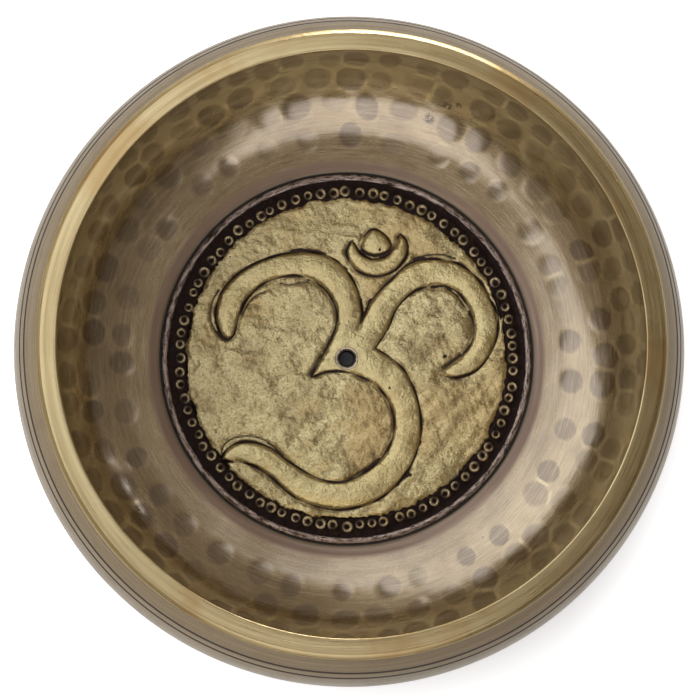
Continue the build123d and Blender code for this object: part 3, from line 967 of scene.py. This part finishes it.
def bowl_material():
    """Bronze that is brushed round its axis, hammered and stained inside, and worn on its rim and foot,
    with painted shade on the outside towards the east-south-east and in its turned lines.
    """
    n = Nodes(bpy.data.materials.new("hammered_bronze"))
    point, x, y, z = n.place()
    radius = n.length(x, y)
    mark, web = n.attribute("mark"), n.attribute("web")
    inside, rim, cut = n.attribute("inside"), n.attribute("rim"), n.attribute("cut")
    across = n.times(n.minus(radius, n.times(z, 0.8)), 1 / MM)
    streak = n.noise(n.turned(x, y, across, 2.2), 2.6, detail=4, rough=0.7)
    fine_streak = n.noise(n.turned(x, y, across, 2.0), 5.0, detail=2)
    long_streak = n.noise(n.turned(x, y, across, 1.6), 0.55, detail=3)
    cloud = n.noise(point, 38, detail=4, rough=0.6)
    patch = n.noise(point, 120, detail=5, rough=0.6)
    high = n.times(inside, n.ramp(z, LOW_WALL * MM, UPPER_WALL * MM))
    near_seat = n.ramp(radius, STAIN_OUTER * MM, STAIN_INNER * MM)
    near_seat = n.times(near_seat, n.ramp(long_streak, 0.3, 0.6, 0.7, 1))
    struck_dark = n.times(n.ramp(mark, 0.1, 0.9), n.minus(0.70, n.times(high, 0.26)))
    ridge_light = n.times(n.ramp(web, 0.05, 0.9), n.plus(0.42, n.times(high, 0.30)))
    body = n.paint(
        n.blend(n.ramp(cloud, 0.36, 0.64), srgb(142, 121, 86), srgb(166, 146, 112)),
        (n.ramp(z, LOW_WALL * MM, YELLOW_WALL * MM, 0, 0.75), (202, 182, 136)),
        (n.ramp(patch, 0.45, 0.75, 0, 0.35), (132, 106, 86)),
        (struck_dark, (88, 68, 53)),
        (n.ramp(streak, 0.42, 0.75, 0, 0.34), (204, 188, 158)),
        (n.ramp(fine_streak, 0.50, 0.72, 0, 0.42), (104, 86, 60)),
        (ridge_light, (224, 204, 158)),
        (n.times(corrosion(n, point), 0.85), (46, 34, 26)),
        (n.times(near_seat, 0.9), (138, 114, 103)),
    )
    # painted shade on the outside, darker towards the east-south-east
    east = n.ramp(n.minus(x, n.times(y, 0.5)), EAST_SHADE_START * MM, EAST_SHADE_END * MM, 0, 0.6)
    recess = n.ramp(radius, (RECESS_RADIUS + 0.3) * MM, (RECESS_RADIUS - 0.5) * MM, 0, 0.7)
    outside = n.paint(
        n.blend(n.ramp(long_streak, 0.35, 0.7), srgb(118, 105, 88), srgb(138, 125, 106)),
        (n.ramp(mark, 0.1, 0.9, 0, 0.3), (104, 90, 74)),
        (n.ramp(patch, 0.5, 0.75, 0, 0.4), (112, 94, 76)),
        (east, (84, 73, 62)),
        (recess, (84, 70, 56)),
        (n.ramp(z, FOOT_WEAR_TOP * MM, FOOT_WEAR_FULL * MM, 0, 0.6), (184, 166, 128)),
        # painted shade, near black, in the turned lines' grooves
        (n.times(cut, 0.92), (44, 28, 20)),
    )
    top = n.paint(
        n.blend(n.ramp(long_streak, 0.3, 0.7), srgb(150, 131, 94), srgb(182, 166, 128)),
        (n.ramp(streak, 0.45, 0.75, 0, 0.3), (214, 198, 158)),
        (n.ramp(cloud, 0.50, 0.66, 0, 0.5), (150, 120, 76)),
    )
    n.link(n.blend(rim, n.blend(inside, outside, body), top), "Base Color")

    rough = n.ramp(streak, 0.3, 0.8, 0.22, 0.32)
    rough = n.plus(rough, n.ramp(patch, 0.4, 0.8, 0.0, 0.06))
    for mask, more in ((near_seat, 0.2), (high, 0.08), (rim, 0.04), (cut, 0.3)):
        rough = n.plus(rough, n.times(mask, more))
    n.link(rough, "Roughness")
    dull = n.times(cut, 0.85)
    for mask, amount in ((near_seat, 0.72), (inside, 0.22), (high, 0.50)):
        dull = n.larger(dull, n.times(mask, amount))
    n.link(n.minus(1.0, dull), "Metallic")
    coat = n.times(inside, n.minus(0.75, n.times(near_seat, 0.7)))
    n.link(coat, "Coat Weight")
    n.shader.inputs["Coat Roughness"].default_value = 0.17
    n.shader.inputs["Coat IOR"].default_value = 2.0
    n.shader.inputs["Specular Tint"].default_value = (0.56, 0.53, 0.48, 1)
    brushed = n.bump(streak, 0.28, 0.00012)
    n.link(n.bump(patch, 0.10, 0.0002, brushed), "Normal")
    return n.owner


def cast_material():
    """Cast bronze, wrinkled and grainy, dark in its hollows and tarnished on the flange and the beads; on
    the beads the darkness also holds painted highlights and painted shade.
    """
    n = Nodes(bpy.data.materials.new("cast_bronze"))
    point, x, y, _ = n.place()
    dark, sign, tarnish = n.attribute("dark"), n.attribute("sign"), n.attribute("tarnish")
    grain = n.noise(point, 2000, detail=2, rough=0.6)
    speck = n.noise(point, 1500, detail=3, rough=0.75)
    folds = n.noise(n.vector("MULTIPLY", point, (0.55, 1.25, 1.0))["Vector"], 230, detail=4, rough=0.6)
    patch = n.noise(point, 110, detail=5, rough=0.6)
    cloud = n.noise(point, 34, detail=3)
    across = n.times(n.length(x, y), 1 / MM)
    crust = n.noise(n.turned(x, y, across, 9.0), 1.7, detail=4, rough=0.75)
    cast = n.paint(
        n.blend(n.ramp(grain, 0.34, 0.66), srgb(168, 152, 109), srgb(214, 202, 158)),
        (n.ramp(patch, 0.42, 0.72, 0, 0.6), (140, 118, 84)),
        (n.ramp(cloud, 0.48, 0.66, 0, 0.45), (176, 146, 96)),
        (n.times(sign, 0.45), (218, 202, 150)),
        (n.ramp(folds, 0.54, 0.78, 0, 0.34), (132, 110, 78)),
        (n.ramp(speck, 0.63, 0.69, 0, 0.8), (60, 45, 32)),
    )
    tarnished = n.blend(n.ramp(crust, 0.44, 0.62), srgb(160, 144, 136), srgb(60, 46, 41))
    # dark: patina in the face's hollows, and on the beads painted shade and painted highlight
    colour = n.paint(n.blend(tarnish, cast, tarnished), (n.ramp(dark, 0.25, 0.85), (44, 29, 24)))
    n.link(colour, "Base Color")
    n.link(n.ramp(grain, 0.3, 0.7, 0.32, 0.46), "Roughness")
    n.link(n.ramp(dark, 0.3, 0.9, 0.95, 0.3), "Metallic")
    n.shader.inputs["Specular IOR Level"].default_value = 0.25
    coarse = n.bump(folds, 0.75, 0.0006, n.bump(patch, 0.75, 0.0010))
    n.link(n.bump(grain, 0.8, 0.00016, coarse), "Normal")
    return n.owner


def inlay_material():
    """Black inlay with brown specks."""
    n = Nodes(bpy.data.materials.new("black_inlay"))
    point = n.place()[0]
    spots = n.noise(point, 520, detail=4, rough=0.6)
    n.link(n.blend(n.ramp(spots, 0.5, 0.8), srgb(14, 6, 5), srgb(58, 38, 27)), "Base Color")
    n.link(n.ramp(spots, 0.3, 0.8, 0.36, 0.62), "Roughness")
    n.shader.inputs["Specular IOR Level"].default_value = 0.16
    n.shader.inputs["Specular Tint"].default_value = (1.0, 0.72, 0.66, 1)
    n.link(n.bump(spots, 0.5, 0.0003), "Normal")
    return n.owner


def pitch_material():
    """Dull black pitch in the seam round the medallion."""
    n = Nodes(bpy.data.materials.new("black_pitch"))
    point = n.place()[0]
    lumps = n.noise(point, 900, detail=3)
    n.link(n.blend(n.ramp(lumps, 0.4, 0.8), srgb(14, 9, 8), srgb(40, 28, 22)), "Base Color")
    n.link(n.ramp(lumps, 0.3, 0.8, 0.55, 0.8), "Roughness")
    n.link(n.bump(lumps, 0.4, 0.0002), "Normal")
    return n.owner


def rivet_material():
    """Worn pale metal on the rivet's lip, and near black down its bore as painted shade."""
    n = Nodes(bpy.data.materials.new("rivet_metal"))
    point, _, _, z = n.place()
    worn = n.noise(point, 900, detail=4)
    bright = n.blend(n.ramp(worn, 0.35, 0.65), srgb(166, 152, 134), srgb(222, 212, 196))
    # painted shade: near black from a little below the lip downwards, where the bore lies in shadow
    near_lip = n.ramp(z, (SIGN_TOP - 1.2) * MM, (SIGN_TOP - 0.1) * MM)
    n.link(n.blend(near_lip, srgb(34, 31, 34), bright), "Base Color")
    n.link(n.ramp(worn, 0.3, 0.7, 0.35, 0.5), "Roughness")
    n.shader.inputs["Metallic"].default_value = 0.9
    n.link(n.bump(worn, 0.3, 0.0001), "Normal")
    return n.owner


def floor_material():
    """A pale floor with a little glow of its own, and a painted shadow in the closed space under the bowl.
    """
    n = Nodes(bpy.data.materials.new("pale_floor"))
    _, x, y, _ = n.place()
    radius = n.length(n.minus(x, SHADE_X * MM), n.minus(y, SHADE_Y * MM))
    # painted shadow: darker colour round a middle off the axis, fading out a little past the foot
    clear = n.ramp(radius, FOOT_RADIUS * MM, SHADE_END * MM)
    n.link(n.blend(clear, (0.16, 0.16, 0.18), (0.92, 0.92, 0.92)), "Base Color")
    n.shader.inputs["Roughness"].default_value = 0.9
    n.shader.inputs["Emission Color"].default_value = (0.97, 0.98, 1, 1)
    # only a faint glow inside the painted shadow
    glow = n.ramp(radius, FOOT_RADIUS * MM, SHADE_END * MM, FLOOR_SHADE_GLOW, FLOOR_GLOW)
    n.link(glow, "Emission Strength")
    return n.owner


# ---------------------------------------------------------------- studio


def make_camera():
    """Above the bowl, a few degrees off its axis, with the sign upright in the picture."""
    lean, towards = math.radians(CAMERA_LEAN), math.radians(CAMERA_AZIMUTH)
    back = Vector((math.sin(lean) * math.cos(towards), math.sin(lean) * math.sin(towards), math.cos(lean)))
    right = (Vector((1, 0, 0)) - back * back.x).normalized()
    up = back.cross(right)
    place = (Vector(CAMERA_AIM) + back * CAMERA_DISTANCE) * MM
    data = bpy.data.cameras.new("camera")
    data.lens = CAMERA_LENS
    camera = bpy.data.objects.new("camera", data)
    bpy.context.scene.collection.objects.link(camera)
    turn = Matrix((right, up, back)).transposed()
    camera.matrix_world = Matrix.Translation(place) @ turn.to_4x4()
    bpy.context.scene.camera = camera


def softbox(name, azimuth, elevation, distance, wide, tall, power, colour=(1, 1, 1), roll=0):
    """A rectangular light that faces the bowl, rolled about its own axis. Its lengths are metres."""
    a, e = math.radians(azimuth), math.radians(elevation)
    place = Vector((math.cos(a) * math.cos(e), math.sin(a) * math.cos(e), math.sin(e))) * distance
    data = bpy.data.lights.new(name, "AREA")
    data.shape = "RECTANGLE"
    data.size, data.size_y = wide, tall
    data.energy = power
    data.color = colour
    light = bpy.data.objects.new(name, data)
    bpy.context.scene.collection.objects.link(light)
    light.location = place
    light.rotation_mode = "QUATERNION"
    facing = place.to_track_quat("Z", "Y")
    light.rotation_quaternion = facing @ Quaternion((0, 0, 1), math.radians(roll))
    light.visible_camera = False


def make_lights():
    """Two large soft lights, a strip that draws the far rim and a small glint."""
    cool, neutral = (0.88, 0.93, 1.0), (0.94, 0.95, 1.0)
    softbox("key_north_west", 144, 59, 1.3, wide=1.18, tall=1.22, power=7.5, colour=cool, roll=-14)
    softbox("fill_south", 266, 48, 1.4, wide=1.00, tall=1.30, power=7.2, colour=neutral)
    softbox("edge_north", 80, 19, 1.3, wide=0.6, tall=0.18, power=9.0)
    softbox("glint_north_east", 34, 33, 1.3, wide=0.10, tall=0.07, power=0.22)


def make_room():
    """Warm light from all round, brightest near the horizon and to the north-west."""
    n = Nodes(bpy.data.worlds.new("studio"), "Background")
    direction, _, _, z = n.place("Generated")
    climb = n.ramp(z, HORIZON_TOP, OVERHEAD_BOTTOM, HORIZON_LIGHT, OVERHEAD_LIGHT)
    side = n.vector("DOT_PRODUCT", direction, BRIGHT_SIDE)["Value"]
    n.link(n.times(climb, n.plus(side, 1.0)), "Strength")
    n.shader.inputs["Color"].default_value = ROOM_COLOUR
    bpy.context.scene.world = n.owner


def make_floor():
    """The studio's floor, flush with the bowl's foot."""
    side = FLOOR_HALF * MM
    mesh = bpy.data.meshes.new("floor")
    corners = [(-side, -side, 0), (side, -side, 0), (side, side, 0), (-side, side, 0)]
    mesh.from_pydata(corners, [], [(0, 1, 2, 3)])
    mesh.materials.append(floor_material())
    floor = bpy.data.objects.new("floor", mesh)
    bpy.context.scene.collection.objects.link(floor)


make_camera()
make_lights()
make_room()
make_floor()
bpy.context.scene.view_settings.view_transform = "Standard"
cast = cast_material()
make_bowl(bowl_material())
make_field(cast)
make_medallion_edge(cast)
make_beads(cast)
make_inlay(inlay_material())
make_rivet(rivet_material())
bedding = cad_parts["medallion_bedding"]
bedding.data.materials.clear()
bedding.data.materials.append(pitch_material())
